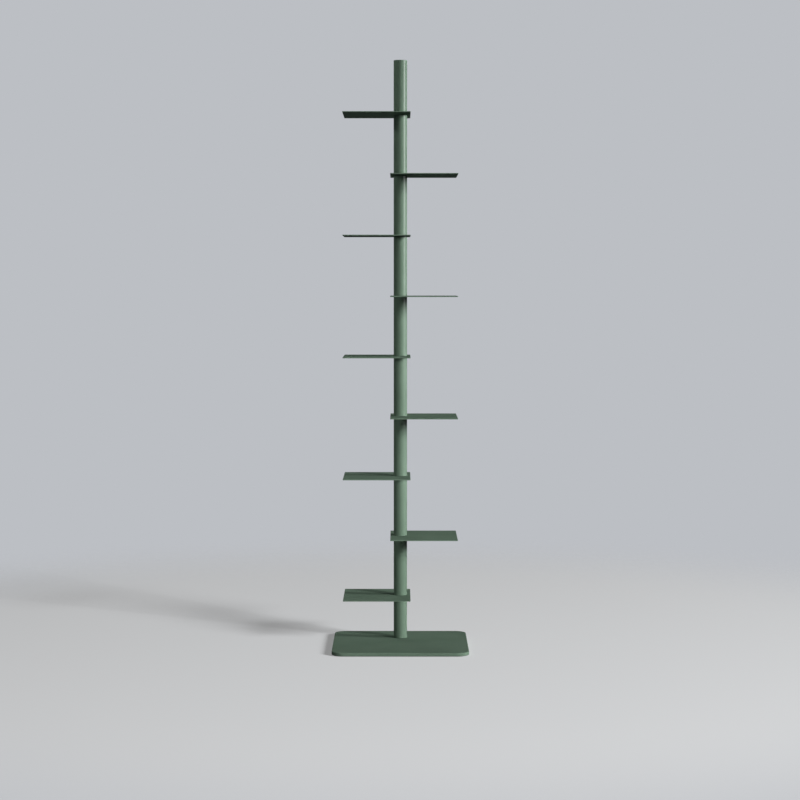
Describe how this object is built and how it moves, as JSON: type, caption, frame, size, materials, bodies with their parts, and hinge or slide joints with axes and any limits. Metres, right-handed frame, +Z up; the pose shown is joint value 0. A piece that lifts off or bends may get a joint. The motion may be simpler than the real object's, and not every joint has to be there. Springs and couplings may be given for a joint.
{
  "type": "tower shelving unit",
  "caption": "Tall shelf tower: a round post on a flat base plate carries thin flat plates that point left and right in turn, clamped in the post.",
  "frame": {"origin": "on the floor, under the middle of the base plate", "axes": "+Z up along the post; -Y is the front; +X is the viewer's right; the post stands 80 mm behind the origin"},
  "size_m": [0.4, 0.4, 1.7415],
  "materials": {
    "post_and_plates": "satin powder coat, sage green",
    "plain_steel": "plain drawn steel, hidden inside the post",
    "zinc_plated_steel": "bright zinc plated",
    "pad_rubber": "matt black rubber"
  },
  "bodies": {
    "root": {"base_plate": "post_and_plates", "floor_pad_front_left": "pad_rubber", "floor_pad_front_right": "pad_rubber", "floor_pad_back_left": "pad_rubber", "floor_pad_back_right": "pad_rubber", "foot_flange": "plain_steel", "base_screws": "zinc_plated_steel", "core_lower": "plain_steel", "core_upper": "plain_steel", "core_joiner": "plain_steel", "core_pins": "zinc_plated_steel", "joiner_screws": "zinc_plated_steel", "post_section_1": "post_and_plates", "post_section_2": "post_and_plates", "post_section_3": "post_and_plates", "post_section_4": "post_and_plates", "post_section_5": "post_and_plates", "post_section_6": "post_and_plates", "post_section_7": "post_and_plates", "post_section_8": "post_and_plates", "post_section_9": "post_and_plates", "post_section_10": "post_and_plates", "shelf_1": "post_and_plates", "shelf_2": "post_and_plates", "shelf_3": "post_and_plates", "shelf_4": "post_and_plates", "shelf_5": "post_and_plates", "shelf_6": "post_and_plates", "shelf_7": "post_and_plates", "shelf_8": "post_and_plates", "shelf_9": "post_and_plates", "top_plug": "plain_steel", "top_ring": "plain_steel", "clamp_washer": "zinc_plated_steel", "clamp_screw": "zinc_plated_steel", "top_cap": "post_and_plates"}
  },
  "joints": []
}
